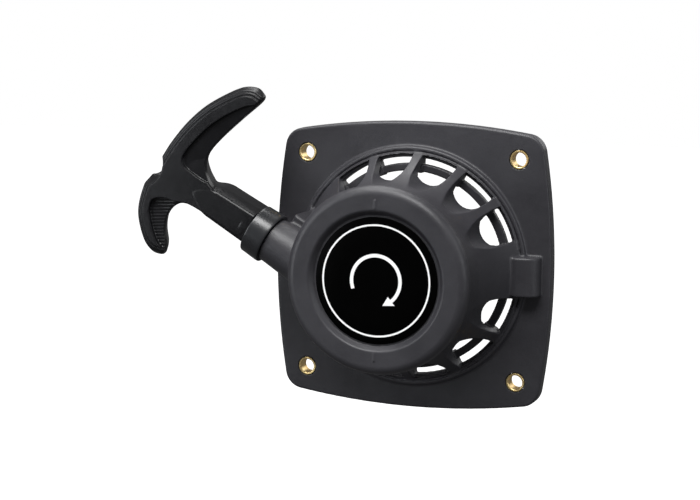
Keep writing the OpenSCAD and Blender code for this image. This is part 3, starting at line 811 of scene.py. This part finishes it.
badge = lathe("badge_disc", [
    (0.0, 44.9), (BADGE_R - 0.2, 44.9), (BADGE_R, 45.0), (BADGE_R, 45.3),
    *arc(BADGE_R - 0.2, 45.3, 0.2, 0, 80, 4), (BADGE_R * 0.6, 45.54), (0.0, 45.56)],
    badge_black, steps=128)
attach(badge, HOUSING)
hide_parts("badge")


def print_ring(name, r_in, r_out, a0, a1, h, head=0.0):
    """A flat printed arc on the badge, with an arrowhead at its end if head is set."""
    steps = max(8, int(abs(a1 - a0) / 3))
    closed = abs(a1 - a0) >= 360
    verts, faces = [], []
    for i in range(steps + (0 if closed else 1)):
        a = math.radians(a0 + (a1 - a0) * i / steps)
        for r in (r_in, r_out):
            for z in (h, h + 0.06):
                verts.append((r * math.cos(a), r * math.sin(a), z))
    n = len(verts) // 4
    for i in range(n if closed else n - 1):
        p, q = i * 4, (i + 1) % n * 4
        for a, b in ((0, 1), (1, 3), (3, 2), (2, 0)):
            faces.append((p + a, p + b, q + b, q + a))
    if not closed:
        faces += [(0, 2, 3, 1), (n * 4 - 4, n * 4 - 3, n * 4 - 1, n * 4 - 2)]
    if head:
        base, mid = len(verts), (r_in + r_out) / 2
        a = math.radians(a1)
        way = 1 if a1 > a0 else -1
        for z in (h, h + 0.06):
            for r in (mid - head, mid + head):
                verts.append((r * math.cos(a), r * math.sin(a), z))
            tip = a + way * head * 1.9 / mid
            verts.append((mid * math.cos(tip), mid * math.sin(tip), z))
        faces += [(base, base + 1, base + 2), (base + 5, base + 4, base + 3),
                  (base, base + 3, base + 4, base + 1), (base + 1, base + 4, base + 5, base + 2),
                  (base + 2, base + 5, base + 3, base)]
    obj = new_object(name, to_row(verts), faces, badge_print, smooth=False)
    clean(obj)
    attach(obj, HOUSING)
    return obj


print_ring("badge_ring", 19.95, 20.6, 0, 360, 45.53)
print_ring("badge_arrow", 8.6, 9.9, 200, -50, 45.55, 2.0)

# ---------------------------------------------------------------- rope

COIL_SIDE = 1.9


def coil_path():
    """Five turns on the reel, two to a layer, starting at the groove's hub."""
    pts = []
    per_turn = 48
    layers = [(16.9, -COIL_SIDE), (16.9, COIL_SIDE), (20.3, COIL_SIDE), (20.3, -COIL_SIDE),
              (23.7, -COIL_SIDE)]
    start = math.radians(205)
    for turn, (r, side) in enumerate(layers):
        r2, side2 = layers[min(turn + 1, len(layers) - 1)]
        for i in range(per_turn):
            f = i / per_turn
            over = np.clip((f - 0.8) / 0.2, 0, 1)
            over = over * over * (3 - 2 * over)
            a = start + 2 * math.pi * f
            rr = r + (r2 - r) * over
            pts.append((rr * math.cos(a), rr * math.sin(a), EXIT_H + side + (side2 - side) * over))
    return pts


coil = tube("rope_on_reel", coil_path(), ROPE_R - 0.1, rope_braid)
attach(coil, REEL)
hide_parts("rope_coil")

# the run through the eyelet to the handle's knot, in evenly spaced rings along the exit's axis
RUN_FROM, RUN_TO = 45.5, 84.8
run = tube("rope_to_handle", [frame_at(RUN_FROM + (RUN_TO - RUN_FROM) * i / 120) for i in range(121)],
           ROPE_R, rope_braid, sides=20)
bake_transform(run)
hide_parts("rope_run")

for node in ("rope_lead", "reel_knot", "handle_knot"):
    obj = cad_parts[node]
    obj.data.materials.clear()
    obj.data.materials.append(rope_braid)

# ---------------------------------------------------------------- carried-over nodes

FINISH = {
    "post_insert": brass, "spring_case": pressed, "recoil_spring": spring_steel,
    "reel": reel_plastic, "reel_bush": bronze, "pawl_1": sintered, "pawl_2": sintered,
    "pawl_pin_1": zinc, "pawl_pin_2": zinc, "pawl_spring_1": spring_steel,
    "pawl_spring_2": spring_steel, "pawl_clip_1": spring_steel, "pawl_clip_2": spring_steel,
    "guide_plate": pressed, "friction_spring": spring_steel, "friction_washer": zinc,
    "centre_screw": zinc,
}
for node, material in FINISH.items():
    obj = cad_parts[node]
    obj.data.materials.clear()
    obj.data.materials.append(material)

# ---------------------------------------------------------------- floor and light


def backdrop():
    """A white floor well below the object, with nothing upright that could hide it from behind."""
    m = Nodes("backdrop")
    m.set(color=m.mix(m.noise(0.002, 2.0), grey(0.93), grey(0.95)), rough=0.9, level=0.1)
    m.shader.inputs["Emission Color"].default_value = grey(1.0)
    m.shader.inputs["Emission Strength"].default_value = 1.0
    reach, below = 8.0, -0.6
    corners = [(x * reach, y * reach, below) for x, y in ((-1, -1), (1, -1), (1, 1), (-1, 1))]
    obj = new_object("backdrop", corners, [(0, 1, 2, 3)], m.material)
    obj.visible_diffuse = obj.visible_glossy = False


backdrop()


def area(name, where, size, power, tint=(1.0, 1.0, 1.0)):
    """A soft rectangular light that faces the object's middle."""
    data = bpy.data.lights.new(name, "AREA")
    data.shape, data.size, data.size_y = "RECTANGLE", size[0], size[1]
    data.energy, data.color = power, tint
    obj = bpy.data.objects.new(name, data)
    obj.location = where
    obj.rotation_mode = "QUATERNION"
    obj.rotation_quaternion = (row(-20, 5, 20) - Vector(where)).to_track_quat("-Z", "Y")
    bpy.context.scene.collection.objects.link(obj)


area("key", (0.0, -0.8, 1.15), (1.0, 0.5), 27)
area("right", (1.1, -0.35, 0.35), (0.4, 0.9), 4, (0.93, 0.96, 1.0))
area("top", (-0.3, 0.1, 1.1), (1.2, 0.5), 14)
area("left", (-0.8, -0.75, 0.2), (0.4, 0.7), 5, (0.93, 0.96, 1.0))
area("back", (0.5, 1.0, 0.5), (0.8, 0.6), 3)

world = bpy.data.worlds.new("world")
world.use_nodes = True
paths = world.node_tree.nodes.new("ShaderNodeLightPath")
share = world.node_tree.nodes.new("ShaderNodeMapRange")
share.inputs["To Min"].default_value, share.inputs["To Max"].default_value = 0.15, 1.0
world.node_tree.links.new(paths.outputs["Is Camera Ray"], share.inputs["Value"])
sky = world.node_tree.nodes["Background"].inputs
sky["Color"].default_value = (1.0, 1.0, 1.0, 1.0)
world.node_tree.links.new(share.outputs["Result"], sky["Strength"])
bpy.context.scene.world = world
bpy.context.scene.view_settings.view_transform = "Standard"
